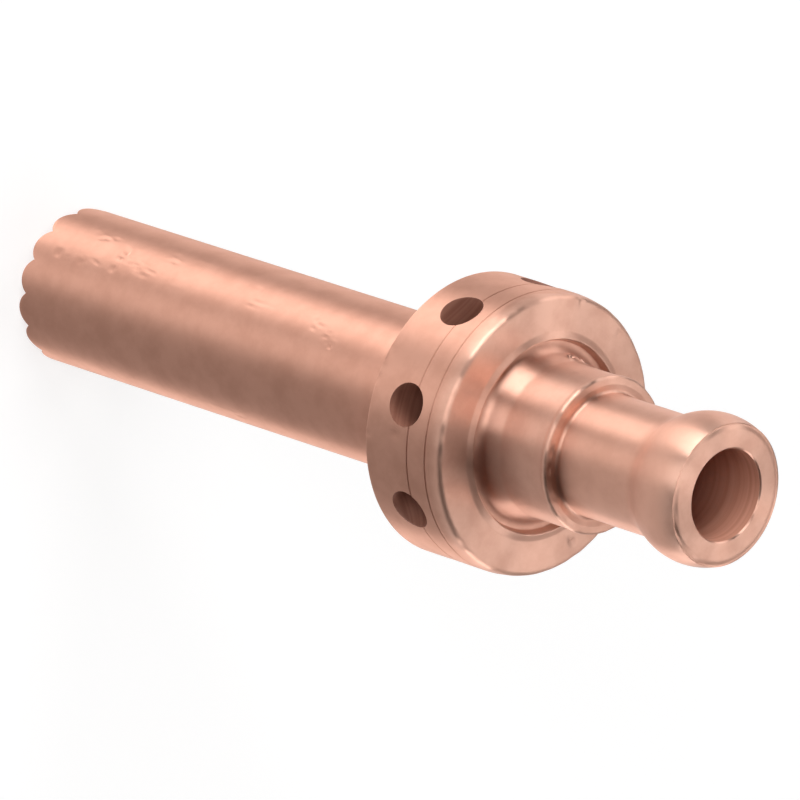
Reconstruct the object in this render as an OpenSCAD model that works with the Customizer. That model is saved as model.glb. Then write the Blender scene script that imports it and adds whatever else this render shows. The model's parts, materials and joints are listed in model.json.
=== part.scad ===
// Electrode for an air plasma cutting torch, standing on its serrated front end.
// Millimetres. +Z runs along the turning axis from the front end to the bead at the rear,
// and the origin is at the middle of the tooth tips. One gas hole lies on +X.
// The body is one turned copper bar; a hafnium pin is pressed into its front end.

/* [Shank] */
// Diameter of the plain round shank
shank_d = 6.35; // [5.6:0.05:7.4]
// Length of the shank from the tooth tips to the front face of the flange
shank_len = 23.2; // [16:0.1:32]
// Root fillet between the shank and the flange
shank_fillet = 0.2; // [0.05:0.05:0.5]

/* [Serrated front end] */
// Number of teeth round the front end
tooth_count = 14; // [10:1:18]
// Depth of the valleys between the teeth, at the rim
tooth_depth = 0.38; // [0.24:0.02:0.48]
// Diameter of the flat land in the middle of the front end
land_d = 3.2; // [2.6:0.1:4]
// Depth of the flat land below the tooth tips
land_depth = 0.15; // [0.12:0.01:0.22]

/* [Emitter insert] */
// Diameter of the hafnium insert
insert_d = 1.6; // [1:0.1:2]
// Length of the hafnium insert
insert_len = 3.2; // [2:0.1:6]
// Radial gap round the insert, none for the press fit
insert_gap = 0; // [0:0.005:0.02]

/* [Flange] */
// Outside diameter of the flange
flange_d = 11.34; // [10:0.02:14]
// Thickness of the flange
flange_t = 4.14; // [3.8:0.02:6]
// Length of the slight taper at the rear edge of the rim, measured from the rear face
rim_taper_len = 0.6; // [0.4:0.02:0.7]
// Angle of that taper to the axis
rim_taper_angle = 8; // [4:0.5:12]
// Rounding between the taper and the rear face
flange_round = 0.22; // [0.1:0.02:0.3]
// Edge break of the front edge of the rim, on the shank side
flange_break = 0.1; // [0.05:0.05:0.3]
// Distance from the rear face of the flange to the first scored line on the rim
score_near = 0.79; // [0.6:0.01:1]
// Distance from the rear face of the flange to the second scored line on the rim
score_far = 1.8; // [1.3:0.01:2.4]
// Width of a scored line
score_w = 0.1; // [0.06:0.01:0.2]
// Depth of a scored line
score_depth = 0.05; // [0.03:0.01:0.1]

/* [Gas holes] */
// Number of radial gas holes through the flange
gas_hole_count = 8; // [4:1:10]
// Diameter of a gas hole
gas_hole_d = 1.7; // [1:0.05:2]
// Distance from the front face of the flange to the hole centres
gas_hole_from_front = 1.96; // [1.4:0.02:2.4]

/* [Relief round the stem] */
// Radial width of the relief, from the stem to the crest of its raised lip
relief_w = 0.78; // [0.6:0.02:1]
// Depth of the relief below the rear face of the flange
relief_depth = 0.25; // [0.1:0.01:0.4]
// Radius of the hollow that sweeps from the bottom of the relief up to the stem
relief_fillet = 1.1; // [0.7:0.02:1.4]
// Height of the raised lip above the rear face of the flange
lip_h = 0.2; // [0.05:0.01:0.3]
// Width of the lip's gentle outer slope, from the rear face up to its crest
lip_slope = 0.45; // [0.3:0.01:0.7]
// Width of the lip's steep inner wall, from its crest to the bottom of the relief
lip_wall = 0.2; // [0.1:0.01:0.3]

/* [Stem, step and neck] */
// Diameter of the stem between the flange and the step
stem_d = 6.24; // [5.8:0.02:6.8]
// Length of the stem, from the rear face of the flange to the step
stem_len = 3.31; // [2.4:0.01:6]
// How far the rolled edge of the step stands proud of the stem
edge_proud = 0.08; // [0.02:0.01:0.15]
// Width of the rolled edge of the step
edge_w = 0.3; // [0.2:0.02:0.5]
// Diameter of the neck behind the step
neck_d = 4.94; // [4.5:0.02:5.4]
// Radial width of the groove in the step, from the neck to the groove's outer edge
groove_w = 0.36; // [0.24:0.01:0.44]
// Depth of the groove below the step
groove_depth = 0.1; // [0.04:0.01:0.16]
// Width of the groove's outer wall
groove_wall = 0.1; // [0.04:0.01:0.16]
// Radius of the hollow that sweeps from the bottom of the groove up to the neck
neck_fillet = 0.4; // [0.2:0.02:0.5]

/* [Bead] */
// Length from the step to the rear end face
tail_len = 6.74; // [5:0.01:10]
// Largest diameter of the bead
bead_d = 6.04; // [5.7:0.02:6.6]
// Radius of the bead's rounded profile
bead_round = 2.87; // [1.8:0.01:3.4]
// Radius of the hollow that blends the neck into the bead
bead_blend = 1.22; // [0.6:0.01:2]
// Distance from the bead's largest diameter to the rear end face
bead_from_end = 1.07; // [0.6:0.01:1.4]

/* [Gas bore] */
// Diameter of the blind bore drilled in from the rear end
bore_d = 3.66; // [3:0.02:3.9]
// How far the bore runs on past the centres of the gas holes
bore_past_holes = 2.5; // [1.5:0.1:6]
// Chamfer at the mouth of the bore
bore_chamfer = 0.1; // [0.05:0.05:0.3]
// Point angle of the drill that leaves the bottom of the bore
drill_angle = 118; // [90:1:140]

/* [Hidden] */
$fn = 96;

shank_r = shank_d / 2;
flange_r = flange_d / 2;
stem_r = stem_d / 2;
neck_r = neck_d / 2;
bead_r = bead_d / 2;
bore_r = bore_d / 2;
insert_r = insert_d / 2;
land_r = land_d / 2;

// Stations along the axis
z_flange = shank_len;
z_rear_face = z_flange + flange_t;
z_step = z_rear_face + stem_len;
z_end = z_step + tail_len;
z_gas = z_flange + gas_hole_from_front;
z_bore_floor = z_gas - bore_past_holes;
z_bore_tip = z_bore_floor - bore_r / tan(drill_angle / 2);
z_bead = z_end - bead_from_end;
z_relief = z_rear_face - relief_depth;
z_groove = z_step - groove_depth;

// Each tooth is a radial rod lying on the tooth tips; neighbouring rods meet in the valleys
half_chord = shank_r * sin(180 / tooth_count);
tooth_round = (half_chord * half_chord + tooth_depth * tooth_depth) / (2 * tooth_depth);

// Rear edge of the rim: an arc that touches both the taper and the rear face
rim_taper_run = rim_taper_len - flange_round * (1 - sin(rim_taper_angle));
rim_round_r = flange_r - rim_taper_run * tan(rim_taper_angle) - flange_round * cos(rim_taper_angle);

// Raised lip: its outer slope is an arc that rises from the rear face to the crest
lip_crest_r = stem_r + relief_w;
lip_round = (lip_slope * lip_slope + lip_h * lip_h) / (2 * lip_h);
lip_angle = asin(lip_slope / lip_round);

// Rolled edge of the step: an arc that stands proud of the stem
edge_half = edge_w / 2;
edge_round = (edge_half * edge_half + edge_proud * edge_proud) / (2 * edge_proud);
edge_angle = asin(edge_half / edge_round);

// Bead and the hollow in front of it are two arcs that touch
bead_centre = [bead_r - bead_round, z_bead];
blend_reach = bead_round + bead_blend;
blend_across = neck_r + bead_blend - bead_centre[0];
blend_centre = [neck_r + bead_blend, z_bead - sqrt(pow(blend_reach, 2) - pow(blend_across, 2))];
blend_angle = acos(blend_across / blend_reach);
bead_end_angle = asin(bead_from_end / bead_round);

arc_step = 8;
cut_margin = 1;

function arc(centre, r, from, to) =
    let (n = max(2, ceil(abs(to - from) / arc_step)))
    [for (i = [0 : n]) centre + r * [cos(from + (to - from) * i / n), sin(from + (to - from) * i / n)]];

// Hollow round the foot of a post: an arc from the bottom of the hollow up to the post's side
function hollow(post_r, bottom_r, bottom_z, fillet) =
    let (sweep = acos((post_r + fillet - bottom_r) / fillet))
    arc([post_r + fillet, bottom_z + fillet * sin(sweep)], fillet, 180 + sweep, 180);

// Half section of the turned bar, radius first and height second
function flange_outline() = concat(
    [[0, 0], [shank_r, 0]],
    arc([shank_r + shank_fillet, z_flange - shank_fillet], shank_fillet, 180, 90),
    [[flange_r - flange_break, z_flange], [flange_r, z_flange + flange_break]],
    [[flange_r, z_rear_face - rim_taper_len]],
    arc([rim_round_r, z_rear_face - flange_round], flange_round, rim_taper_angle, 90)
);
function relief_outline() = concat(
    arc([lip_crest_r + lip_slope, z_rear_face + lip_round], lip_round, 270, 270 - lip_angle),
    hollow(stem_r, lip_crest_r - lip_wall, z_relief, relief_fillet)
);
function stem_outline() = concat(
    arc([stem_r + edge_proud - edge_round, z_step - edge_half], edge_round, -edge_angle, edge_angle),
    [[neck_r + groove_w, z_step]],
    hollow(neck_r, neck_r + groove_w - groove_wall, z_groove, neck_fillet)
);
function bead_outline() = concat(
    arc(blend_centre, bead_blend, 180, 180 - blend_angle),
    arc(bead_centre, bead_round, -blend_angle + arc_step / 2, bead_end_angle)
);
function bore_outline() = [
    [bore_r + bore_chamfer, z_end],
    [bore_r, z_end - bore_chamfer],
    [bore_r, z_bore_floor],
    [0, z_bore_tip]
];

module turned_bar() {
    rotate_extrude() polygon(concat(
        flange_outline(), relief_outline(), stem_outline(), bead_outline(), bore_outline()
    ));
}

// Space outside the teeth: a disc under the front end, less a rod for each tooth
module serration_cut() {
    rod_start = land_r / 2;
    difference() {
        translate([0, 0, -cut_margin])
            cylinder(r = shank_r + cut_margin, h = cut_margin + tooth_depth + tooth_depth / 4);
        for (i = [0 : tooth_count - 1])
            rotate([0, 0, i * 360 / tooth_count])
                translate([rod_start, 0, tooth_round])
                    rotate([0, 90, 0])
                        cylinder(r = tooth_round, h = shank_r + 2 * cut_margin - rod_start);
        translate([0, 0, land_depth / 2])
            cylinder(r = land_r * 0.9, h = tooth_round);
    }
}

module front_land_cut() {
    translate([0, 0, -cut_margin])
        cylinder(r = land_r, h = cut_margin + land_depth);
}

module insert_pocket() {
    translate([0, 0, -cut_margin])
        cylinder(r = insert_r + insert_gap, h = cut_margin + land_depth + insert_len);
}

module gas_holes() {
    for (i = [0 : gas_hole_count - 1])
        rotate([0, 0, i * 360 / gas_hole_count])
            translate([0, 0, z_gas])
                rotate([0, 90, 0])
                    cylinder(d = gas_hole_d, h = flange_r + cut_margin);
}

module scored_lines() {
    for (z = [z_rear_face - score_near, z_rear_face - score_far])
        rotate_extrude()
            polygon([
                [flange_r - score_depth, z],
                [flange_r + score_depth, z - score_w],
                [flange_r + score_depth, z + score_w]
            ]);
}

module electrode_body() {
    color("#c98d74")
        difference() {
            turned_bar();
            serration_cut();
            front_land_cut();
            insert_pocket();
            gas_holes();
            scored_lines();
        }
}

module emitter_insert() {
    color("#8f8d8a")
        translate([0, 0, land_depth])
            cylinder(r = insert_r, h = insert_len);
}

electrode_body();
emitter_insert();
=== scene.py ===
"""Dressed copper electrode of an air plasma torch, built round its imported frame.

The electrode stands on its serrated front end, with the beaded rear end up. Sizes of the part are
in millimetres and every mesh is scaled to metres once. Heights run along the turning axis, and
azimuths go round it in degrees from the gas hole on +X. The studio is in metres.
"""

import json
import logging
import math
from dataclasses import dataclass, field
from enum import Enum
from typing import Any

import bmesh
import bpy
import numpy as np
from mathutils import Matrix, Vector

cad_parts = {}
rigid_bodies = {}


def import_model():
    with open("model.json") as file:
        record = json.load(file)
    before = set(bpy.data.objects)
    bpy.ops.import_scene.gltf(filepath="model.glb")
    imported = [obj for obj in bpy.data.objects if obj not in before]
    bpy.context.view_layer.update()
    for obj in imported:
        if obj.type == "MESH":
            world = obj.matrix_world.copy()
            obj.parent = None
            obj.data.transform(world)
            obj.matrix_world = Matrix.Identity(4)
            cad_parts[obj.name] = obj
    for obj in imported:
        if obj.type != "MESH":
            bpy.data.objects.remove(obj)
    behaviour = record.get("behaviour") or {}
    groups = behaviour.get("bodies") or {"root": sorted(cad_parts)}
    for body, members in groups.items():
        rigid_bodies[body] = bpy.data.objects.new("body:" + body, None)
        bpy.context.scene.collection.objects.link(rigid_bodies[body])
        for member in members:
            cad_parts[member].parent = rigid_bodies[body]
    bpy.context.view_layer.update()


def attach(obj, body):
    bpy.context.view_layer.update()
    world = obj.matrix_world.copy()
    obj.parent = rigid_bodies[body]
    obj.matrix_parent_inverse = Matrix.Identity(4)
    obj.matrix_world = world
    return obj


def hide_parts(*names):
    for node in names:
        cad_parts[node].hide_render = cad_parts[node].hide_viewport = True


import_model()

MM = 0.001
LENGTH = 37.39  # overall height of the part
CREASE_DEG = 30.0  # edges that turn by more than this stay sharp
CORNER_STEP_DEG = 15.0  # turn from one mesh row to the next round a rounded corner
ROW_SPACING = 0.3  # largest distance between mesh rows where no other is given
NO_ROWS_BETWEEN = 9.0  # spacing longer than any stretch, which leaves it whole
BURR_AT = 1.2  # where the pushed-up metal round a mark peaks, as a share of the mark's half size
BURR_WIDTH = 0.35  # how wide that ridge is, as the same share
log = logging.getLogger("electrode")


class Zone(Enum):
    """Kind of surface, by how it was cut. The value is its material slot on the mesh."""

    TURNED = 0
    DRILLED = 1
    GAS_HOLE = 2


def hex_to_linear(code: str) -> tuple[float, float, float, float]:
    """Turns an sRGB hex colour into the linear colour that a shader takes.

    Args:
        code: Colour such as "#c98d74".

    Returns:
        Red, green, blue and alpha, from 0 to 1.
    """
    parts = [int(code[i : i + 2], 16) / 255 for i in (1, 3, 5)]
    linear = [c / 12.92 if c <= 0.04045 else ((c + 0.055) / 1.055) ** 2.4 for c in parts]
    return (linear[0], linear[1], linear[2], 1.0)


def add_node(
    tree: bpy.types.NodeTree,
    kind: str,
    sockets: dict[str | int, Any] | None = None,
    **settings: Any,
) -> bpy.types.Node:
    """Adds a node with its settings, socket values and incoming links.

    Args:
        tree: Node tree that gets the node.
        kind: Blender's name for the kind of node.
        sockets: Value or output socket for each input socket, by name or number.
        **settings: The node's own properties.

    Returns:
        The new node.
    """
    node = tree.nodes.new(kind)
    for name, value in settings.items():
        setattr(node, name, value)
    for key, value in (sockets or {}).items():
        if isinstance(value, bpy.types.NodeSocket):
            tree.links.new(value, node.inputs[key])
        else:
            node.inputs[key].default_value = value
    return node


def set_ramp(ramp: bpy.types.ColorRamp, stops: list[tuple[float, Any]]) -> None:
    """Gives a colour ramp its stops.

    Args:
        ramp: The ramp of a Color Ramp node.
        stops: Position from 0 to 1 and sRGB hex colour or grey level of each stop, in order.
    """
    while len(ramp.elements) > 1:
        ramp.elements.remove(ramp.elements[-1])
    for i, (place, tone) in enumerate(stops):
        stop = ramp.elements[0] if i == 0 else ramp.elements.new(place)
        stop.position = place
        stop.color = hex_to_linear(tone) if isinstance(tone, str) else (tone, tone, tone, 1.0)


def new_metal(name: str) -> tuple[bpy.types.Material, bpy.types.NodeTree, bpy.types.Node]:
    """Starts a material.

    Args:
        name: Name of the material.

    Returns:
        The material, its node tree and its shader node.
    """
    material = bpy.data.materials.new(name)
    material.use_nodes = True
    return material, material.node_tree, material.node_tree.nodes["Principled BSDF"]


def place_on_part(tree: bpy.types.NodeTree) -> bpy.types.NodeSocket:
    """Gives the position on the part, from its own origin and in metres."""
    return add_node(tree, "ShaderNodeTexCoord").outputs["Object"]


def way_along_outline(tree: bpy.types.NodeTree, place: bpy.types.NodeSocket) -> bpy.types.NodeSocket:
    """Gives a number that grows along the outline, on round walls and on end faces alike.

    Args:
        tree: Node tree of the material.
        place: Position on the part, from its own origin.

    Returns:
        Height less distance from the axis, in metres, so that lines of equal value are lathe rings.
    """
    parts = add_node(tree, "ShaderNodeSeparateXYZ", {"Vector": place})
    flat = add_node(tree, "ShaderNodeCombineXYZ", {"X": parts.outputs["X"], "Y": parts.outputs["Y"]})
    from_axis = add_node(
        tree, "ShaderNodeVectorMath", {0: flat.outputs["Vector"]}, operation="LENGTH"
    )
    way = add_node(
        tree, "ShaderNodeMath",
        {0: parts.outputs["Z"], 1: from_axis.outputs["Value"]}, operation="SUBTRACT",
    )
    return way.outputs["Value"]


def ring_noise(
    tree: bpy.types.NodeTree,
    place: bpy.types.NodeSocket,
    spacing_mm: float,
    detail: float,
    roughness: float = 0.5,
) -> bpy.types.NodeSocket:
    """Adds a pattern of uneven rings round the axis, as a cutting tool leaves them.

    Args:
        tree: Node tree of the material.
        place: Position on the part, from its own origin.
        spacing_mm: Typical distance from ring to ring.
        detail: Number of finer layers on top.
        roughness: How strong the finer layers are.

    Returns:
        The pattern, from 0 to 1.
    """
    noise = add_node(
        tree, "ShaderNodeTexNoise",
        {"W": way_along_outline(tree, place), "Scale": 1 / (spacing_mm * MM), "Detail": detail,
         "Roughness": roughness},
        noise_dimensions="1D",
    )
    return noise.outputs["Fac"]


def patch_noise(
    tree: bpy.types.NodeTree,
    place: bpy.types.NodeSocket,
    size_mm: float,
    detail: float,
    roughness: float = 0.5,
) -> bpy.types.NodeSocket:
    """Adds a pattern of soft patches.

    Args:
        tree: Node tree of the material.
        place: Position on the part, from its own origin.
        size_mm: Typical size of a patch.
        detail: Number of finer layers on top.
        roughness: How strong the finer layers are.

    Returns:
        The pattern, from 0 to 1.
    """
    noise = add_node(
        tree, "ShaderNodeTexNoise",
        {"Vector": place, "Scale": 1 / (size_mm * MM), "Detail": detail, "Roughness": roughness},
    )
    return noise.outputs["Fac"]


def two_tones(
    tree: bpy.types.NodeTree, pattern: bpy.types.NodeSocket, stops: list[tuple[float, str]]
) -> bpy.types.NodeSocket:
    """Colours a pattern.

    Args:
        tree: Node tree of the material.
        pattern: Pattern from 0 to 1.
        stops: Level of the pattern and sRGB hex colour of each tone, in order.

    Returns:
        The colour.
    """
    ramp = add_node(tree, "ShaderNodeValToRGB", {"Fac": pattern})
    set_ramp(ramp.color_ramp, stops)
    return ramp.outputs["Color"]


def add_bump(
    tree: bpy.types.NodeTree,
    pattern: bpy.types.NodeSocket,
    height_mm: float,
    under: bpy.types.NodeSocket | None = None,
) -> bpy.types.NodeSocket:
    """Lets a pattern lift the surface.

    Args:
        tree: Node tree of the material.
        pattern: Pattern from 0 to 1.
        height_mm: How far a level of 1 lifts the surface.
        under: Normal of the bumps that these lie on, if there are any.

    Returns:
        The new normal.
    """
    sockets = {"Height": pattern, "Distance": height_mm * MM, "Strength": 1.0}
    if under is not None:
        sockets["Normal"] = under
    return add_node(tree, "ShaderNodeBump", sockets).outputs["Normal"]


@dataclass(frozen=True)
class TurnedCopper:
    """Copper bar turned on a lathe: pale pink metal with a satin sheen and fine rings from the tool.

    The rear face of the flange, the relief, the stem and the rear end get a paler tone, painted light
    that lightens them. The zones of painted light give its share at heights in mm. From the rear of the
    flange upward the metal is also burnished by use, so it is glossier there.
    """

    name: str = "turned_copper"
    colour: str = "#dca994"
    stain: str = "#d6a38e"
    # painted light: paler copper for the flange's rear face, relief, stem and rear end
    painted_light_colour: str = "#dfb09c"
    painted_light_stain: str = "#d7a692"
    stain_level: float = 0.36
    clean_level: float = 0.6
    # height in mm and share of the painted light tone
    painted_light_zones: tuple[tuple[float, float], ...] = (
        (26.7, 0.0), (27.3, 1.0), (30.9, 1.0), (31.2, 0.0), (36.6, 0.0), (37.2, 1.0),
    )
    shank_roughness: float = 0.64
    burnished_roughness: float = 0.46
    burnished_from: float = 26.6
    burnish_fade: float = 0.6
    patch_gloss: float = -0.08
    groove_stretch: float = 0.92
    groove_turn: float = 0.25  # a quarter turn, so that highlights spread across the tool's grooves
    feed_mm: float = 0.16  # the real feed is about 0.08 mm, drawn twice as coarse to show
    ring_height_mm: float = 0.0011
    blotch_mm: float = 1.1
    wave_height_mm: float = 0.0014
    grit_mm: float = 0.12
    grit_height_mm: float = 0.0007

    def tone(
        self, tree: bpy.types.NodeTree, blotches: bpy.types.NodeSocket, height: bpy.types.NodeSocket
    ) -> bpy.types.NodeSocket:
        """Works out the colour: stained or clean, and paler in the zones of painted light.

        Args:
            tree: Node tree of the material.
            blotches: Pattern of the stains.
            height: Height on the part in metres.

        Returns:
            The colour.
        """
        levels = (self.stain_level, self.clean_level)
        plain = two_tones(tree, blotches, list(zip(levels, (self.stain, self.colour))))
        # painted light: the paler copy of the copper
        pale = two_tones(tree, blotches, list(zip(levels, (self.painted_light_stain, self.painted_light_colour))))
        share = add_node(
            tree, "ShaderNodeMapRange", {"Value": height, "From Min": 0.0, "From Max": LENGTH * MM}
        )
        # share of the painted light tone, by height
        painted_light_share = add_node(tree, "ShaderNodeValToRGB", {"Fac": share.outputs["Result"]})
        set_ramp(painted_light_share.color_ramp, [(z / LENGTH, level) for z, level in self.painted_light_zones])
        mix = add_node(
            tree, "ShaderNodeMix", {0: painted_light_share.outputs["Color"], 6: plain, 7: pale}, data_type="RGBA"
        )
        return mix.outputs[2]

    def roughness(
        self, tree: bpy.types.NodeTree, blotches: bpy.types.NodeSocket, height: bpy.types.NodeSocket
    ) -> bpy.types.NodeSocket:
        """Works out the roughness: less where the part is burnished and a little less on clean patches.

        Args:
            tree: Node tree of the material.
            blotches: Pattern of the stains.
            height: Height on the part in metres.

        Returns:
            The roughness.
        """
        base = add_node(
            tree, "ShaderNodeMapRange",
            {"Value": height, "From Min": self.burnished_from * MM,
             "From Max": (self.burnished_from + self.burnish_fade) * MM,
             "To Min": self.shank_roughness, "To Max": self.burnished_roughness},
        )
        sheen = add_node(
            tree, "ShaderNodeMath",
            {0: blotches, 1: self.patch_gloss, 2: base.outputs["Result"]}, operation="MULTIPLY_ADD",
        )
        return sheen.outputs["Value"]

    def material(self) -> bpy.types.Material:
        """Builds the finish.

        Returns:
            Metal whose rings follow the way along the outline, with soft patches of handling stain.
        """
        material, tree, shader = new_metal(self.name)
        place = place_on_part(tree)
        height = add_node(tree, "ShaderNodeSeparateXYZ", {"Vector": place}).outputs["Z"]
        blotches = patch_noise(tree, place, self.blotch_mm, detail=4.0, roughness=0.62)
        grooves = ring_noise(tree, place, self.feed_mm, detail=3.0, roughness=0.6)
        grains = patch_noise(tree, place, self.grit_mm, detail=2.0)
        rings = add_bump(tree, grooves, self.ring_height_mm)
        grit = add_bump(tree, grains, self.grit_height_mm, under=rings)
        waves = add_bump(tree, blotches, self.wave_height_mm, under=grit)
        around = add_node(tree, "ShaderNodeTangent", direction_type="RADIAL", axis="Z")
        shader.inputs["Metallic"].default_value = 1.0
        shader.inputs["Anisotropic"].default_value = self.groove_stretch
        shader.inputs["Anisotropic Rotation"].default_value = self.groove_turn
        tree.links.new(around.outputs["Tangent"], shader.inputs["Tangent"])
        tree.links.new(self.tone(tree, blotches, height), shader.inputs["Base Color"])
        tree.links.new(self.roughness(tree, blotches, height), shader.inputs["Roughness"])
        tree.links.new(waves, shader.inputs["Normal"])
        return material


@dataclass(frozen=True)
class RingedMetal:
    """Metal with one pattern of rings round the axis, which both tints it and lifts its surface."""

    name: str
    colour: str
    stain: str
    stain_level: float
    clean_level: float
    metal_share: float
    roughness: float
    ring_mm: float
    ring_detail: float
    ring_height_mm: float

    def material(self) -> bpy.types.Material:
        """Builds the finish.

        Returns:
            The ringed metal.
        """
        material, tree, shader = new_metal(self.name)
        rings = ring_noise(tree, place_on_part(tree), self.ring_mm, self.ring_detail)
        tone = two_tones(tree, rings, [(self.stain_level, self.stain), (self.clean_level, self.colour)])
        shader.inputs["Metallic"].default_value = self.metal_share
        shader.inputs["Roughness"].default_value = self.roughness
        tree.links.new(tone, shader.inputs["Base Color"])
        tree.links.new(add_bump(tree, rings, self.ring_height_mm), shader.inputs["Normal"])
        return material


@dataclass(frozen=True)
class DrilledCopper(RingedMetal):
    """Copper wall left by a twist drill: duller than the outside, with coarser rings, and darker and
    browner, which is painted shade for the deep bore.
    """

    name: str = "drilled_copper"
    # darker than the turned copper: painted shade inside the bore
    colour: str = "#d09781"
    stain: str = "#c28872"
    stain_level: float = 0.35
    clean_level: float = 0.65
    metal_share: float = 0.1
    roughness: float = 0.42
    ring_mm: float = 0.3
    ring_detail: float = 3.0
    ring_height_mm: float = 0.0018


@dataclass(frozen=True)
class GroundHafnium(RingedMetal):
    """Hafnium ground flush after pressing: a dull grey metal with fine rings, warmer than steel."""

    name: str = "ground_hafnium"
    colour: str = "#b9b4ad"
    stain: str = "#8f8d8a"
    stain_level: float = 0.3
    clean_level: float = 0.7
    metal_share: float = 1.0
    roughness: float = 0.4
    ring_mm: float = 0.06
    ring_detail: float = 2.0
    ring_height_mm: float = 0.0008


@dataclass
class Outline:
    """Half section of a turned piece, drawn corner by corner in radius and height."""

    corners: list[tuple[float, float, float, float]] = field(default_factory=list)

    def corner(
        self, radius: float, height: float, rounding: float = 0.0, spacing: float = ROW_SPACING
    ) -> None:
        """Adds a corner.

        Args:
            radius: Distance from the axis.
            height: Height above the tooth tips.
            rounding: Radius that the corner is rounded with.
            spacing: Largest distance between rows on the way to this corner.
        """
        self.corners.append((radius, height, rounding, spacing))

    def arc(
        self, centre: tuple[float, float], radius: float, start: float, end: float, rows: int
    ) -> None:
        """Adds an arc as a run of plain corners.

        Args:
            centre: Radius and height of the arc's centre.
            radius: The arc's own radius.
            start: Angle of its first point in degrees, 0 being straight outward.
            end: Angle of its last point in degrees.
            rows: Number of points.
        """
        for angle in np.radians(np.linspace(start, end, rows)):
            across, up = radius * math.cos(angle), radius * math.sin(angle)
            self.corner(centre[0] + across, centre[1] + up, 0.0, NO_ROWS_BETWEEN)

    def rows(self) -> np.ndarray:
        """Works out the rows of the mesh.

        Returns:
            Radius and height of every row, in order.
        """
        spots = [np.array(c[:2]) for c in self.corners]
        done = [spots[0]]
        for i in range(1, len(spots)):
            rounding, spacing = self.corners[i][2:]
            before, here = spots[i - 1], spots[i]
            run = [here]
            if rounding and i + 1 < len(spots):
                back = (before - here) / np.linalg.norm(before - here)
                on = (spots[i + 1] - here) / np.linalg.norm(spots[i + 1] - here)
                half = math.acos(np.clip(back @ on, -1, 1)) / 2
                middle = here + (back + on) / np.linalg.norm(back + on) * rounding / math.sin(half)
                first = here + back * rounding / math.tan(half)
                last = here + on * rounding / math.tan(half)
                steps = max(3, round((180 - math.degrees(2 * half)) / CORNER_STEP_DEG))
                a, b = first - middle, last - middle
                sweep = math.acos(np.clip(a @ b / rounding**2, -1, 1))
                run = [
                    middle + (a * math.sin(sweep * (1 - t)) + b * math.sin(sweep * t)) / math.sin(sweep)
                    for t in np.linspace(0, 1, steps + 1)
                ]
            reach = run[0] - done[-1]
            pieces = max(1, math.ceil(np.linalg.norm(reach) / spacing))
            start = done[-1]
            done += [start + reach * k / pieces for k in range(1, pieces)]
            done += run
        return np.array(done)


@dataclass(frozen=True)
class Mark:
    """Small dent or nick from handling, with the metal that it pushed up round its edge.

    Its place is an azimuth and the radius and height of a point on the outline. Length and width are
    in mm, the length lying round the axis until it is turned by some degrees. A depth below zero makes
    a bump. The burr is the height of the pushed-up metal.
    """

    azimuth: float
    radius: float
    station: float
    length: float
    width: float
    depth: float
    turn: float = 0.0
    burr: float = 0.0


@dataclass(frozen=True)
class Scuff:
    """Patch of the shank where something hard rubbed it and left small ragged nicks.

    Around and along give how far the nicks scatter, in mm. The ranges at the end hold for each nick.
    """

    azimuth: float
    station: float
    around: float
    along: float
    count: int
    seed: int
    lengths: tuple[float, float] = (0.16, 0.42)
    widths: tuple[float, float] = (0.08, 0.15)
    depths: tuple[float, float] = (-0.012, 0.035)
    burr: float = 0.008

    def marks(self, radius: float) -> list[Mark]:
        """Scatters the nicks of the patch.

        Args:
            radius: Radius of the wall that carries them.

        Returns:
            The nicks, most of them near the middle of the patch.
        """
        draw = np.random.default_rng(self.seed)
        return [
            Mark(
                self.azimuth + math.degrees(draw.normal() * self.around / radius), radius,
                self.station + draw.normal() * self.along,
                draw.uniform(*self.lengths), draw.uniform(*self.widths), draw.uniform(*self.depths),
                draw.uniform(-90, 90), self.burr,
            )
            for _ in range(self.count)
        ]


@dataclass(frozen=True)
class Ripple:
    """Uneven stretch of a turned edge, where the tool tore or rolled the soft copper.

    Its place is the radius and height of a point on the outline. It fades out over the reach, in mm
    along the outline, and over the spread, in degrees to either side of its azimuth. Around and along
    give how many waves it has round the axis and for each mm along the outline.
    """

    radius: float
    station: float
    reach: float
    azimuth: float
    spread: float
    height: float
    around: int
    along: float
    seed: int


def unevenness(angle: np.ndarray, along: np.ndarray, around: int, stretch: float, seed: int) -> np.ndarray:
    """Gives a smooth uneven pattern that closes on itself round the axis.

    Args:
        angle: Angle round the axis for each spoke, in radians.
        along: Way along the outline for each row, as a column.
        around: Typical number of waves round the axis.
        stretch: Typical number of waves for each millimetre along the outline.
        seed: Number that the pattern is drawn from.

    Returns:
        Values round zero, rarely beyond one.
    """
    waves = 8
    fewest, most = 0.4, 1.7  # as a share of the typical number of waves
    draw = np.random.default_rng(seed)
    total = np.zeros((len(along), len(angle)))
    for _ in range(waves):
        count = round(around * draw.uniform(fewest, most))
        lean = 2 * math.pi * stretch * draw.normal()
        total += np.sin(count * angle + lean * along + draw.uniform(0, 2 * math.pi))
    return total / math.sqrt(waves)


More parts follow.
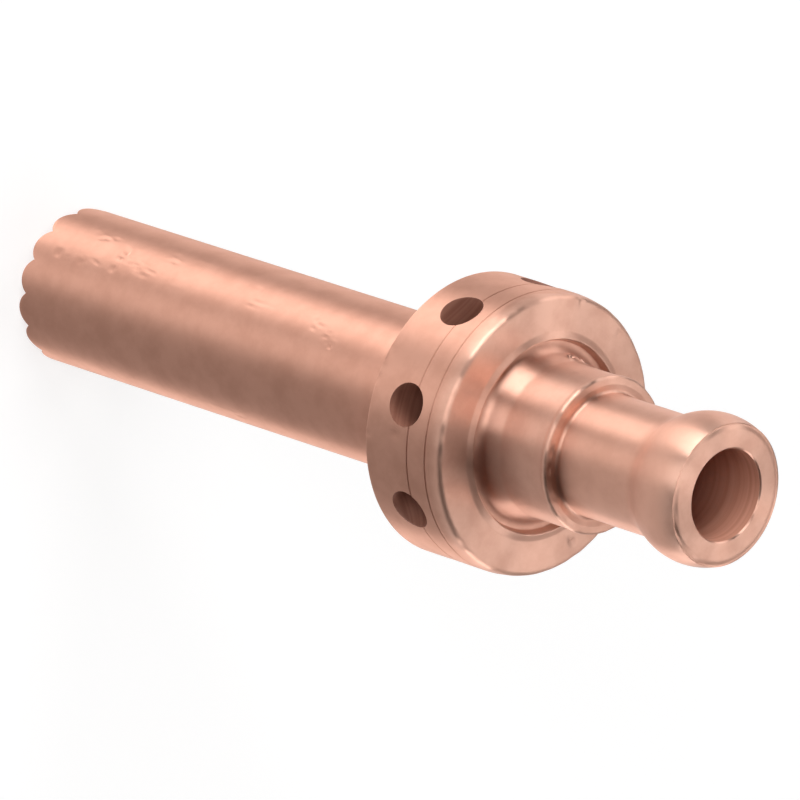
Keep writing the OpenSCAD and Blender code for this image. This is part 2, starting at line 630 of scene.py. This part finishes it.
def ring_mesh(name: str, radius: np.ndarray, height: np.ndarray, slots: np.ndarray) -> bpy.types.Mesh:
    """Makes a closed round mesh from rows of points, with a single point at each end.

    Args:
        name: Name of the mesh.
        radius: Distance from the axis for each row and each spoke.
        height: Height for each row and each spoke.
        slots: Material slot of the faces that follow each row.

    Returns:
        The mesh, in metres.
    """
    count, spokes = radius.shape
    angle = np.arange(spokes) * 2 * math.pi / spokes
    middle = np.stack([radius * np.cos(angle), radius * np.sin(angle), height], -1)[1:-1]
    points = np.concatenate([
        [[0.0, 0.0, height[0].mean()]], middle.reshape(-1, 3), [[0.0, 0.0, height[-1].mean()]]
    ]) * MM
    top = len(points) - 1
    faces, kinds = [], []
    for j in range(spokes):
        k = (j + 1) % spokes
        faces.append((0, 1 + k, 1 + j))
        kinds.append(slots[0])
        for i in range(count - 3):
            a, b = 1 + i * spokes, 1 + (i + 1) * spokes
            faces.append((a + j, a + k, b + k, b + j))
            kinds.append(slots[i + 1])
        a = 1 + (count - 3) * spokes
        faces.append((a + j, a + k, top))
        kinds.append(slots[-2])
    mesh = bpy.data.meshes.new(name)
    mesh.from_pydata(points.tolist(), [], faces)
    mesh.polygons.foreach_set("material_index", np.array(kinds, np.int32))
    mesh.update()
    return mesh


def turned_mesh(name: str, pen: Outline, spokes: int, slot: int = 0) -> bpy.types.Mesh:
    """Makes a closed mesh from an outline, the same all the way round.

    Args:
        name: Name of the mesh.
        pen: The outline.
        spokes: Number of points in each row.
        slot: Material slot of its faces.

    Returns:
        The mesh, in metres.
    """
    rows = pen.rows()
    radius = np.repeat(rows[:, :1], spokes, 1)
    height = np.repeat(rows[:, 1:], spokes, 1)
    return ring_mesh(name, radius, height, np.full(len(rows), slot))


def soften(mesh: bpy.types.Mesh) -> None:
    """Shades a mesh smooth and keeps its real edges crisp.

    Args:
        mesh: The mesh.
    """
    shape = bmesh.new()
    shape.from_mesh(mesh)
    bmesh.ops.recalc_face_normals(shape, faces=shape.faces)
    for face in shape.faces:
        face.smooth = True
    for edge in shape.edges:
        edge.smooth = edge.calc_face_angle(math.pi) < math.radians(CREASE_DEG)
    shape.to_mesh(mesh)
    shape.free()


def show(name: str, mesh: bpy.types.Mesh) -> bpy.types.Object:
    """Puts a mesh into the scene.

    Args:
        name: Name of the piece.
        mesh: Its mesh.

    Returns:
        The new object.
    """
    piece = bpy.data.objects.new(name, mesh)
    bpy.context.scene.collection.objects.link(piece)
    return piece


@dataclass
class ElectrodeBody:
    """The turned and drilled copper bar, from its serrated front end to its beaded rear end.

    Names that end in rows give the largest distance between mesh rows, in mm. It is small where the
    skin curves or carries marks.
    """

    spokes: int = 280  # the same whole number for every tooth and for every quarter turn
    level_rows: float = 0.6
    front_rows: float = 0.1
    curve_rows: float = 0.08
    fine_rows: float = 0.06
    close_rows: float = 0.05

    shank_r: float = 3.175
    shank_len: float = 23.2
    shank_fillet: float = 0.2
    shank_stretches: tuple[tuple[float, float], ...] = (
        (2.0, 0.18), (8.0, 0.15), (11.4, 0.7), (12.8, 0.2), (16.0, 0.7), (18.0, 0.14),
    )  # height that each stretch runs up to and its rows, close where there are marks

    tooth_count: int = 14
    tooth_depth: float = 0.38
    tooth_inset: float = 0.04
    tooth_break: tuple[float, float] = (0.012, 0.01)  # inward and up from the sharp edge of the tips
    tooth_rows: int = 14
    level_from: float = 0.6  # height above which the rows of the shank no longer follow the teeth
    level_steps: int = 4
    land_r: float = 1.6
    land_depth: float = 0.15
    land_gap: float = 0.02
    pocket_r: float = 0.8
    pocket_depth: float = 3.35

    flange_r: float = 5.67
    flange_t: float = 4.14
    front_break: float = 0.1
    scored: tuple[float, ...] = (0.79, 1.8)  # distance of each line from the rear face
    score_depth: float = 0.045
    score_half: float = 0.04
    rim_rows: float = 0.22
    rim_taper_len: float = 0.6
    rim_taper_angle: float = 8.0
    rim_taper_blend: float = 0.8
    rim_taper_rows: float = 0.2
    rear_round: float = 0.22

    hole_count: int = 8
    hole_r: float = 0.85
    hole_station: float = 25.16
    hole_start: float = 0.9  # the drill ends here, inside the bore
    mouth_depth: float = 0.13
    mouth_widening: float = 0.05
    mouth_margin: float = 0.02
    cutter_margin: float = 1.0
    cutter_spokes: int = 64

    relief_w: float = 0.78
    relief_depth: float = 0.22
    relief_fillet: float = 0.45
    lip_h: float = 0.12
    lip_slope: float = 0.3
    lip_slope_blend: float = 0.25
    lip_slope_rows: float = 0.2
    lip_round: float = 0.05
    lip_wall: float = 0.12
    lip_wall_root: float = 0.04
    flare_h: float = 0.74
    flare_angle: float = 17.0

    stem_r: float = 3.12
    stem_len: float = 3.31
    stem_rows: float = 0.15
    edge_w: float = 0.26
    edge_proud: float = 0.045
    edge_lead: float = 0.04
    edge_lead_blend: float = 0.5
    edge_rise: float = 0.08
    edge_rise_blend: float = 0.2
    edge_round: float = 0.12
    neck_r: float = 2.47
    neck_rows: float = 0.4
    neck_fillet: float = 0.12
    undercut_w: float = 0.36
    undercut_depth: float = 0.1
    undercut_round: float = 0.05

    tail_len: float = 6.74
    bead_r: float = 3.02
    bead_round: float = 2.87
    bead_blend: float = 1.22
    bead_from_end: float = 1.07
    bead_steps: int = 22
    blend_steps: int = 10
    bead_lead: float = 3.0  # degrees of the bead's arc that the last point of the hollow stands in for
    bead_trim: float = 1.2  # degrees of the bead's arc that the worn edge of the end takes away
    worn_edge: tuple[float, float] = (0.02, 0.09)  # inward and down from the sharp edge of the end
    worn_edge_round: float = 0.1
    worn_face: float = 0.22  # inward from the sharp edge, where the end face begins
    worn_face_round: float = 0.3
    worn_face_rows: float = 0.04

    bore_r: float = 1.83
    bore_floor: float = 22.66
    bore_floor_round: float = 0.05
    bore_rows: float = 1.5
    bore_chamfer: float = 0.06
    bore_mouth_round: float = 0.02
    bore_slack: float = 0.02  # rows up to this far outside the bore's wall count as drilled
    drill_angle: float = 118.0
    drill_point_rows: float = 0.5

    marks: tuple[Mark, ...] = (
        Mark(-46.0, 3.175, 3.0, 0.4, 0.16, 0.03, 20, 0.02),
        Mark(-40.0, 3.175, 4.8, 0.34, 0.24, 0.05, 0, 0.03),
        Mark(-49.5, 3.175, 3.7, 0.3, 0.12, 0.03, -30, 0.01),
        Mark(-25.0, 3.175, 3.6, 0.9, 0.1, 0.02, 75, 0.01),
        Mark(-31.0, 3.175, 6.7, 0.8, 0.09, 0.025, 80, 0.01),
        Mark(-36.0, 3.175, 6.0, 0.5, 0.1, 0.025, 65, 0.01),
        Mark(-23.0, 3.175, 1.4, 0.45, 0.14, 0.045, 10, 0.01),
        Mark(-45.5, 3.175, 7.4, 0.4, 0.16, 0.03, 50, 0.01),
        Mark(-41.5, 3.175, 11.6, 0.5, 0.1, 0.02, 80, 0.01),
        Mark(-35.0, 3.175, 12.8, 0.3, 0.1, 0.02, 70),
        Mark(-34.5, 3.175, 16.2, 0.26, 0.12, 0.03, 20, 0.015),
        Mark(-24.0, 3.175, 17.3, 0.5, 0.08, 0.025, 80, 0.01),
        Mark(-19.0, 3.175, 17.7, 0.34, 0.12, 0.045, 10, 0.03),
        Mark(64.0, 3.175, 12.3, 0.4, 0.14, 0.04, 40, 0.02),
        Mark(-14.0, 3.175, 21.6, 0.5, 0.1, 0.02, 20, 0.01),
        Mark(15.5, 5.67, 23.35, 0.3, 0.2, 0.05, 0, 0.03),
        Mark(-16.0, 5.67, 23.3, 0.8, 0.16, 0.05, 5, 0.02),
        Mark(-7.0, 5.67, 23.3, 0.5, 0.12, 0.04, -8, 0.01),
        Mark(12.7, 5.67, 24.95, 0.34, 0.26, 0.05, 0, 0.03),
        Mark(34.0, 5.67, 24.98, 0.36, 0.14, -0.05, 60),
        Mark(-33.1, 5.67, 26.3, 0.5, 0.14, 0.02, 30, 0.01),
        Mark(128.0, 4.81, 27.34, 0.5, 0.22, 0.07, 20, 0.03),
        Mark(-91.4, 5.3, 27.34, 0.4, 0.16, 0.03, 60, 0.01),
        Mark(-119.9, 5.11, 27.34, 0.6, 0.12, 0.03, 40, 0.01),
        Mark(-88.0, 3.22, 27.72, 0.34, 0.26, 0.07, 30, 0.06),
        Mark(-101.0, 3.22, 27.72, 0.4, 0.24, 0.07, -30, 0.06),
        Mark(-95.0, 3.3, 27.5, 0.3, 0.16, 0.05, 10, 0.04),
    )
    scuffs: tuple[Scuff, ...] = (
        Scuff(-45.0, 3.0, 0.3, 0.35, 11, 21),
        Scuff(-40.0, 4.9, 0.2, 0.25, 8, 22),
        Scuff(-29.0, 5.7, 0.14, 0.8, 12, 23),
        Scuff(-24.0, 2.6, 0.12, 0.8, 6, 24),
        Scuff(-50.0, 7.6, 0.3, 0.9, 6, 25),
        Scuff(-23.0, 17.3, 0.14, 0.3, 6, 26),
        Scuff(-36.0, 12.4, 0.3, 0.4, 5, 27),
        Scuff(-33.0, 16.6, 0.2, 0.3, 4, 29),
        Scuff(62.0, 12.3, 0.2, 0.6, 4, 28),
    )
    ripples: tuple[Ripple, ...] = (
        Ripple(2.8, 37.35, 0.14, 20, 80, 0.011, 15, 2.0, 3),
        Ripple(2.5, 37.39, 0.16, 15, 65, 0.008, 11, 2.5, 4),
        Ripple(5.58, 27.25, 0.14, 0, 180, 0.006, 28, 1.0, 5),
        Ripple(5.64, 26.85, 0.25, -70, 30, 0.012, 24, 1.5, 6),
        Ripple(3.9, 27.5, 0.1, 0, 180, 0.007, 24, 1.0, 7),
        Ripple(3.16, 30.6, 0.1, 0, 180, 0.006, 26, 1.0, 8),
        Ripple(2.9, 30.65, 0.14, 40, 60, 0.01, 20, 1.5, 9),
    )

    def __post_init__(self) -> None:
        """Works out the heights that follow from the lengths."""
        self.rear_face = self.shank_len + self.flange_t
        self.step = self.rear_face + self.stem_len
        self.end = self.step + self.tail_len
        half = self.shank_r * math.sin(math.pi / self.tooth_count)
        self.tooth_round = (half**2 + self.tooth_depth**2) / (2 * self.tooth_depth)

    def front_height(self, radius: np.ndarray, angle: np.ndarray) -> np.ndarray:
        """Height of the serrated front face: radial rods side by side, which meet in valleys.

        Args:
            radius: Distance from the axis.
            angle: Angle round the axis in radians.

        Returns:
            Height above the tooth tips.
        """
        pitch = 2 * math.pi / self.tooth_count
        off = (angle + pitch / 2) % pitch - pitch / 2
        across = radius * np.sin(off)
        return self.tooth_round - np.sqrt(self.tooth_round**2 - across**2)

    def draw_shank(self, pen: Outline) -> None:
        """Draws the shank.

        Args:
            pen: The outline to add to.
        """
        pen.corner(self.shank_r, self.level_from)
        for top, rows in self.shank_stretches:
            pen.corner(self.shank_r, top, 0, rows)
        pen.corner(self.shank_r, self.shank_len, self.shank_fillet, self.level_rows)

    def draw_rim(self, pen: Outline) -> None:
        """Draws the flange's front face and its rim, with the scored lines and the tapered rear edge.

        Args:
            pen: The outline to add to.
        """
        pen.corner(self.flange_r, self.shank_len, self.front_break)
        for drop in reversed(self.scored):
            line = self.rear_face - drop
            pen.corner(self.flange_r, line - self.score_half, 0, self.rim_rows)
            pen.corner(self.flange_r - self.score_depth, line)
            pen.corner(self.flange_r, line + self.score_half)
        taper_start = self.rear_face - self.rim_taper_len
        pen.corner(self.flange_r, taper_start, self.rim_taper_blend, self.rim_taper_rows)
        taper_end = self.flange_r - self.rim_taper_len * math.tan(math.radians(self.rim_taper_angle))
        pen.corner(taper_end, self.rear_face, self.rear_round, self.front_rows)

    def draw_relief(self, pen: Outline) -> None:
        """Draws the flange's rear face, the raised lip, the relief and the flared foot of the stem.

        Args:
            pen: The outline to add to.
        """
        crest_r = self.stem_r + self.relief_w
        bottom = self.rear_face - self.relief_depth
        flare = math.tan(math.radians(self.flare_angle))
        foot_r = self.stem_r + (self.flare_h + self.relief_depth) * flare
        pen.corner(crest_r + self.lip_slope, self.rear_face, self.lip_slope_blend, self.lip_slope_rows)
        pen.corner(crest_r, self.rear_face + self.lip_h, self.lip_round, self.fine_rows)
        pen.corner(crest_r - self.lip_wall, bottom, self.lip_wall_root, self.fine_rows)
        pen.corner(foot_r, bottom, self.relief_fillet, self.fine_rows)
        pen.corner(self.stem_r, self.rear_face + self.flare_h, 0, self.curve_rows)

    def draw_step(self, pen: Outline) -> None:
        """Draws the stem, the rolled edge of the step and the undercut shoulder down to the neck.

        Args:
            pen: The outline to add to.
        """
        edge_r = self.stem_r + self.edge_proud
        edge_start = self.step - self.edge_w
        pen.corner(self.stem_r, edge_start - self.edge_lead, self.edge_lead_blend, self.stem_rows)
        pen.corner(edge_r, edge_start + self.edge_rise, self.edge_rise_blend, self.curve_rows)
        pen.corner(edge_r, self.step, self.edge_round, self.fine_rows)
        pen.corner(self.neck_r + self.undercut_w, self.step, self.undercut_round, self.fine_rows)
        pen.corner(self.neck_r, self.step - self.undercut_depth, self.neck_fillet, self.close_rows)

    def draw_bead(self, pen: Outline) -> None:
        """Draws the neck, the hollow behind it, the bead and the worn edge of the end face.

        Args:
            pen: The outline to add to.
        """
        bead = (self.bead_r - self.bead_round, self.end - self.bead_from_end)
        reach = self.bead_round + self.bead_blend
        across = self.neck_r + self.bead_blend - bead[0]
        blend = (self.neck_r + self.bead_blend, bead[1] - math.sqrt(reach**2 - across**2))
        turn = math.degrees(math.acos(across / reach))
        close = math.degrees(math.asin(self.bead_from_end / self.bead_round))
        pen.corner(self.neck_r, blend[1], 0, self.neck_rows)
        pen.arc(blend, self.bead_blend, 180, 180 - turn, self.blend_steps)
        pen.arc(bead, self.bead_round, self.bead_lead - turn, close - self.bead_trim, self.bead_steps)
        sharp_r = bead[0] + self.bead_round * math.cos(math.radians(close))
        inward, down = self.worn_edge
        pen.corner(sharp_r - inward, self.end - down, self.worn_edge_round, self.close_rows)
        pen.corner(sharp_r - self.worn_face, self.end, self.worn_face_round, self.worn_face_rows)

    def draw_bore(self, pen: Outline) -> None:
        """Draws the mouth of the bore, its wall and the floor that the drill's point left.

        Args:
            pen: The outline to add to.
        """
        point = self.bore_r / math.tan(math.radians(self.drill_angle / 2))
        pen.corner(self.bore_r + self.bore_chamfer, self.end, self.bore_mouth_round, self.curve_rows)
        pen.corner(self.bore_r, self.end - self.bore_chamfer, self.bore_mouth_round, self.front_rows)
        pen.corner(self.bore_r, self.bore_floor, self.bore_floor_round, self.bore_rows)
        pen.corner(0.0, self.bore_floor - point, 0, self.drill_point_rows)

    def outline(self) -> np.ndarray:
        """Draws the outside from just above the teeth to the rear end, and the bore down to its tip.

        Returns:
            Radius and height of every row.
        """
        pen = Outline()
        self.draw_shank(pen)
        self.draw_rim(pen)
        self.draw_relief(pen)
        self.draw_step(pen)
        self.draw_bead(pen)
        self.draw_bore(pen)
        return pen.rows()

    def grid(self) -> tuple[np.ndarray, np.ndarray, np.ndarray]:
        """Lays out the whole skin of the body.

        Returns:
            Radius and height for each row and spoke, and the material slot of each row.
        """
        angle = np.arange(self.spokes) * 2 * math.pi / self.spokes
        radius, height = [], []

        def row(r: float, z: Any) -> None:
            """Adds one row at a radius, with a height or one for each spoke."""
            radius.append(np.full(self.spokes, r))
            height.append(np.broadcast_to(z, self.spokes).astype(float))

        row(0.0, self.pocket_depth)
        row(self.pocket_r, self.pocket_depth)
        row(self.pocket_r, self.land_depth)
        row(self.land_r - self.land_gap, self.land_depth)
        for r in np.linspace(self.land_r, self.shank_r - self.tooth_inset, self.tooth_rows):
            row(r, self.front_height(np.full(self.spokes, r), angle))
        tips = self.front_height(np.full(self.spokes, self.shank_r), angle)
        row(self.shank_r - self.tooth_break[0], tips + self.tooth_break[1])
        tips = tips + self.tooth_inset
        for share in np.linspace(0, 1, self.level_steps, endpoint=False):
            row(self.shank_r, tips * (1 - share) + self.level_from * share)
        for r, z in self.outline():
            row(r, z)
        radius, height = np.array(radius), np.array(height)
        in_bore = radius[:, 0] < self.bore_r + self.bore_slack
        wall = in_bore & (height[:, 0] > self.shank_len / 2)
        return radius, height, np.where(wall, Zone.DRILLED.value, Zone.TURNED.value)

    def wear(self, radius: np.ndarray, height: np.ndarray) -> tuple[np.ndarray, np.ndarray]:
        """Presses the marks of handling into the skin and makes its torn edges uneven.

        Args:
            radius: Distance from the axis for each row and spoke.
            height: Height for each row and spoke.

        Returns:
            The radius and the height with their marks.
        """
        rows = np.stack([radius.mean(1), height.mean(1)], 1)
        course = np.gradient(rows, axis=0)
        course /= np.linalg.norm(course, axis=1, keepdims=True)
        way = np.concatenate([[0], np.cumsum(np.linalg.norm(np.diff(rows, axis=0), axis=1))])
        angle = np.arange(self.spokes) * 2 * math.pi / self.spokes
        pressed = np.zeros_like(radius)

        def from_spot(spot: Mark | Ripple) -> tuple[np.ndarray, np.ndarray]:
            """Measures how far the skin lies from a spot.

            Args:
                spot: Mark or ripple with its place.

            Returns:
                Way along the outline for each row, and swing in degrees for each spoke.
            """
            nearest = np.argmin(np.hypot(rows[:, 0] - spot.radius, rows[:, 1] - spot.station))
            swing = (np.degrees(angle) - spot.azimuth + 180) % 360 - 180
            return (way - way[nearest])[:, None], swing[None, :]

        scattered = [mark for scuff in self.scuffs for mark in scuff.marks(self.shank_r)]
        for mark in (*self.marks, *scattered):
            along, swing = from_spot(mark)
            across = np.radians(swing) * radius
            c, s = math.cos(math.radians(mark.turn)), math.sin(math.radians(mark.turn))
            u = (across * c + along * s) / (mark.length / 2)
            v = (along * c - across * s) / (mark.width / 2)
            reach = np.hypot(u, v)
            pressed += mark.depth * np.exp(-(reach**3))
            pressed -= mark.burr * np.exp(-(((reach - BURR_AT) / BURR_WIDTH) ** 2))
        for ripple in self.ripples:
            along, swing = from_spot(ripple)
            fade = np.exp(-((along / ripple.reach) ** 2)) * np.exp(-((swing / ripple.spread) ** 4))
            pattern = unevenness(angle, along, ripple.around, ripple.along, ripple.seed)
            pressed += ripple.height * fade * pattern
        # pushed-up metal stays inside the box of the plain part
        widest = self.flange_r / np.maximum(np.abs(np.cos(angle)), np.abs(np.sin(angle)))
        radius = np.minimum(radius - pressed * course[:, 1:], widest)
        return radius, np.minimum(height + pressed * course[:, :1], self.end)

    def hole_cutter(self, index: int) -> bpy.types.Object:
        """Makes the drill that cuts one gas hole, a little wider at the mouth where it is deburred.

        Args:
            index: Number of the hole, counted from +X.

        Returns:
            The cutter, lying along its radius.
        """
        mouth_r = self.hole_r + self.mouth_widening
        outer = self.flange_r + self.cutter_margin
        pen = Outline()
        for radius, height in (
            (0.0, self.hole_start),
            (self.hole_r, self.hole_start),
            (self.hole_r, self.flange_r - self.mouth_depth),
            (mouth_r, self.flange_r + self.mouth_margin),
            (mouth_r, outer),
            (0.0, outer),
        ):
            pen.corner(radius, height, 0, NO_ROWS_BETWEEN)
        mesh = turned_mesh("hole_cutter", pen, self.cutter_spokes, Zone.GAS_HOLE.value)
        turn = Matrix.Rotation(index * 2 * math.pi / self.hole_count, 4, "Z")
        lay = Matrix.Translation((0, 0, self.hole_station * MM)) @ Matrix.Rotation(math.pi / 2, 4, "Y")
        mesh.transform(turn @ lay)
        soften(mesh)
        return show("hole_cutter", mesh)

    def build(self) -> bpy.types.Object:
        """Builds the body.

        Returns:
            The finished piece.
        """
        radius, height, slots = self.grid()
        radius, height = self.wear(radius, height)
        mesh = ring_mesh("copper_body", radius, height, slots)
        soften(mesh)
        body = show("copper_body", mesh)
        # painted shade: the narrow gas holes get a much darker copper than the bore
        gas_hole_shade = DrilledCopper("gas_hole_shaded_copper", colour="#9a6a59", stain="#8a5b4b")
        finishes = [TurnedCopper().material(), DrilledCopper().material(), gas_hole_shade.material()]
        for finish in finishes:
            mesh.materials.append(finish)
        cutters = []
        for index in range(self.hole_count):
            cutter = self.hole_cutter(index)
            for finish in finishes:
                cutter.data.materials.append(finish)
            cut = body.modifiers.new("gas_hole", "BOOLEAN")
            cut.object, cut.operation, cut.solver = cutter, "DIFFERENCE", "MANIFOLD"
            cutters.append(cutter)
        bpy.context.view_layer.update()
        graph = bpy.context.evaluated_depsgraph_get()
        drilled = bpy.data.meshes.new_from_object(body.evaluated_get(graph))
        body.modifiers.clear()
        body.data = drilled
        for cutter in cutters:
            bpy.data.objects.remove(cutter)
        soften(drilled)
        even = body.modifiers.new("even_shading", "WEIGHTED_NORMAL")
        even.keep_sharp = True
        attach(body, "root")
        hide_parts("electrode_body")
        log.info("copper body: %d faces", len(drilled.polygons))
        return body


@dataclass
class EmitterInsert:
    """The hafnium pin pressed into the middle of the front end."""

    radius: float = 0.8
    front: float = 0.15
    rear: float = 3.35
    edge_break: float = 0.02
    dish: float = 0.015
    dish_shoulder: tuple[float, float] = (0.6, 0.7)  # share of the radius and of the dish's depth
    dish_rows: float = 0.12
    face_rows: float = 0.08
    side_rows: float = 0.4
    spokes: int = 96

    def build(self) -> bpy.types.Object:
        """Builds the insert.

        Returns:
            The finished piece.
        """
        out, deep = self.dish_shoulder
        pen = Outline()
        pen.corner(0.0, self.front + self.dish)
        pen.corner(self.radius * out, self.front + self.dish * deep, 0, self.dish_rows)
        pen.corner(self.radius - self.edge_break, self.front, 0, self.face_rows)
        pen.corner(self.radius, self.front + self.edge_break)
        pen.corner(self.radius, self.rear, 0, self.side_rows)
        pen.corner(0.0, self.rear)
        mesh = turned_mesh("hafnium_insert", pen, self.spokes)
        soften(mesh)
        mesh.materials.append(GroundHafnium().material())
        insert = show("hafnium_insert", mesh)
        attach(insert, "root")
        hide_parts("emitter_insert")
        log.info("hafnium insert: %d faces", len(mesh.polygons))
        return insert


def direction(azimuth_deg: float, rise_deg: float) -> Vector:
    """Gives the way from the part towards something round it.

    Args:
        azimuth_deg: Angle round the turning axis.
        rise_deg: Angle above the floor.

    Returns:
        Vector of length 1.
    """
    azimuth, rise = math.radians(azimuth_deg), math.radians(rise_deg)
    level = math.cos(rise)
    return Vector((math.cos(azimuth) * level, math.sin(azimuth) * level, math.sin(rise)))


@dataclass(frozen=True)
class Softbox:
    """Square soft lamp that faces the part, in metres and degrees.

    Its level is how bright it looks, 1 being white paper.
    """

    name: str
    azimuth: float
    rise: float
    level: float
    width: float = 0.3
    distance: float = 0.6

    def build(self) -> None:
        """Hangs the lamp."""
        data = bpy.data.lights.new(self.name, "AREA")
        data.shape, data.size = "SQUARE", self.width
        data.energy = self.level * math.pi * self.width**2
        way = direction(self.azimuth, self.rise)
        lamp = bpy.data.objects.new(self.name, data)
        lamp.location = way * self.distance
        lamp.rotation_mode = "QUATERNION"
        lamp.rotation_quaternion = way.to_track_quat("Z", "Y")
        bpy.context.scene.collection.objects.link(lamp)


@dataclass
class Studio:
    """White paper floor, plain grey room, soft lamps and the camera, in metres and degrees.

    The camera's place and angles were fitted to the edges of the part in the photograph.
    """

    floor_half: float = 3.0
    floor_glow: float = 0.73
    floor_share: float = 0.34
    room: str = "#9c9896"
    room_level: float = 0.12
    camera_at: tuple[float, float, float] = (0.32206, -0.02761, 0.33286)
    look_azimuth: float = 175.03
    look_down: float = 44.13
    roll: float = 108.03
    lens_mm: float = 515.6
    sensor_mm: float = 36.0
    clip: tuple[float, float] = (0.05, 20.0)
    lamps: tuple[Softbox, ...] = (
        Softbox("key_box", -61, 17, 6.1, 0.4),
        Softbox("side_box", -124, 24, 3.0),
        Softbox("rear_box", 178, 52, 2.1, 0.34),
        Softbox("top_box", 0, 88, 1.6),
        Softbox("front_box", -10, 34, 4.4),
        Softbox("low_box", 114, 12, 4.2),
    )

    def floor(self) -> None:
        """Lays the white paper, which glows a little so that the part's shadow on it stays soft."""
        mesh = bpy.data.meshes.new("paper_floor")
        h = self.floor_half
        mesh.from_pydata([(-h, -h, 0), (h, -h, 0), (h, h, 0), (-h, h, 0)], [], [(0, 1, 2, 3)])
        paper = bpy.data.materials.new("white_paper")
        paper.use_nodes = True
        tree = paper.node_tree
        tree.nodes.clear()
        glow = add_node(tree, "ShaderNodeEmission", {"Color": (1, 1, 1, 1), "Strength": self.floor_glow})
        matt = add_node(tree, "ShaderNodeBsdfDiffuse", {"Color": (self.floor_share,) * 3 + (1,)})
        both = add_node(tree, "ShaderNodeAddShader", {0: glow.outputs[0], 1: matt.outputs[0]})
        add_node(tree, "ShaderNodeOutputMaterial", {"Surface": both.outputs[0]})
        mesh.materials.append(paper)
        show("paper_floor", mesh)

    def light(self) -> None:
        """Lights the part: an even grey room and the soft lamps."""
        world = bpy.data.worlds.new("grey_room")
        bpy.context.scene.world = world
        world.use_nodes = True
        tree = world.node_tree
        tree.nodes.clear()
        room = add_node(
            tree, "ShaderNodeBackground",
            {"Color": hex_to_linear(self.room), "Strength": self.room_level},
        )
        add_node(tree, "ShaderNodeOutputWorld", {"Surface": room.outputs[0]})
        for lamp in self.lamps:
            lamp.build()

    def camera(self) -> None:
        """Places the camera at the photograph's viewing angle, from far off with a long lens."""
        data = bpy.data.cameras.new("long_lens")
        data.lens, data.sensor_width = self.lens_mm, self.sensor_mm
        data.clip_start, data.clip_end = self.clip
        forward = direction(self.look_azimuth, -self.look_down)
        level = forward.cross(Vector((0, 0, 1))).normalized()
        upright = level.cross(forward)
        c, s = math.cos(math.radians(self.roll)), math.sin(math.radians(self.roll))
        right, up = level * c + upright * s, upright * c - level * s
        turned = Matrix((right, up, -forward)).transposed().to_4x4()
        camera = bpy.data.objects.new("long_lens", data)
        camera.matrix_world = Matrix.Translation(self.camera_at) @ turned
        bpy.context.scene.collection.objects.link(camera)
        bpy.context.scene.camera = camera

    def build(self) -> None:
        """Sets up floor, light and camera, and the plain view transform."""
        self.floor()
        self.light()
        self.camera()
        bpy.context.scene.view_settings.view_transform = "Standard"
        log.info("studio: floor, light and camera")


def main() -> None:
    """Builds the studio and the two pieces of the electrode."""
    logging.basicConfig(level=logging.INFO, format="%(name)s: %(message)s")
    Studio().build()
    ElectrodeBody().build()
    EmitterInsert().build()
    log.info("size written")


if __name__ == "__main__":
    main()
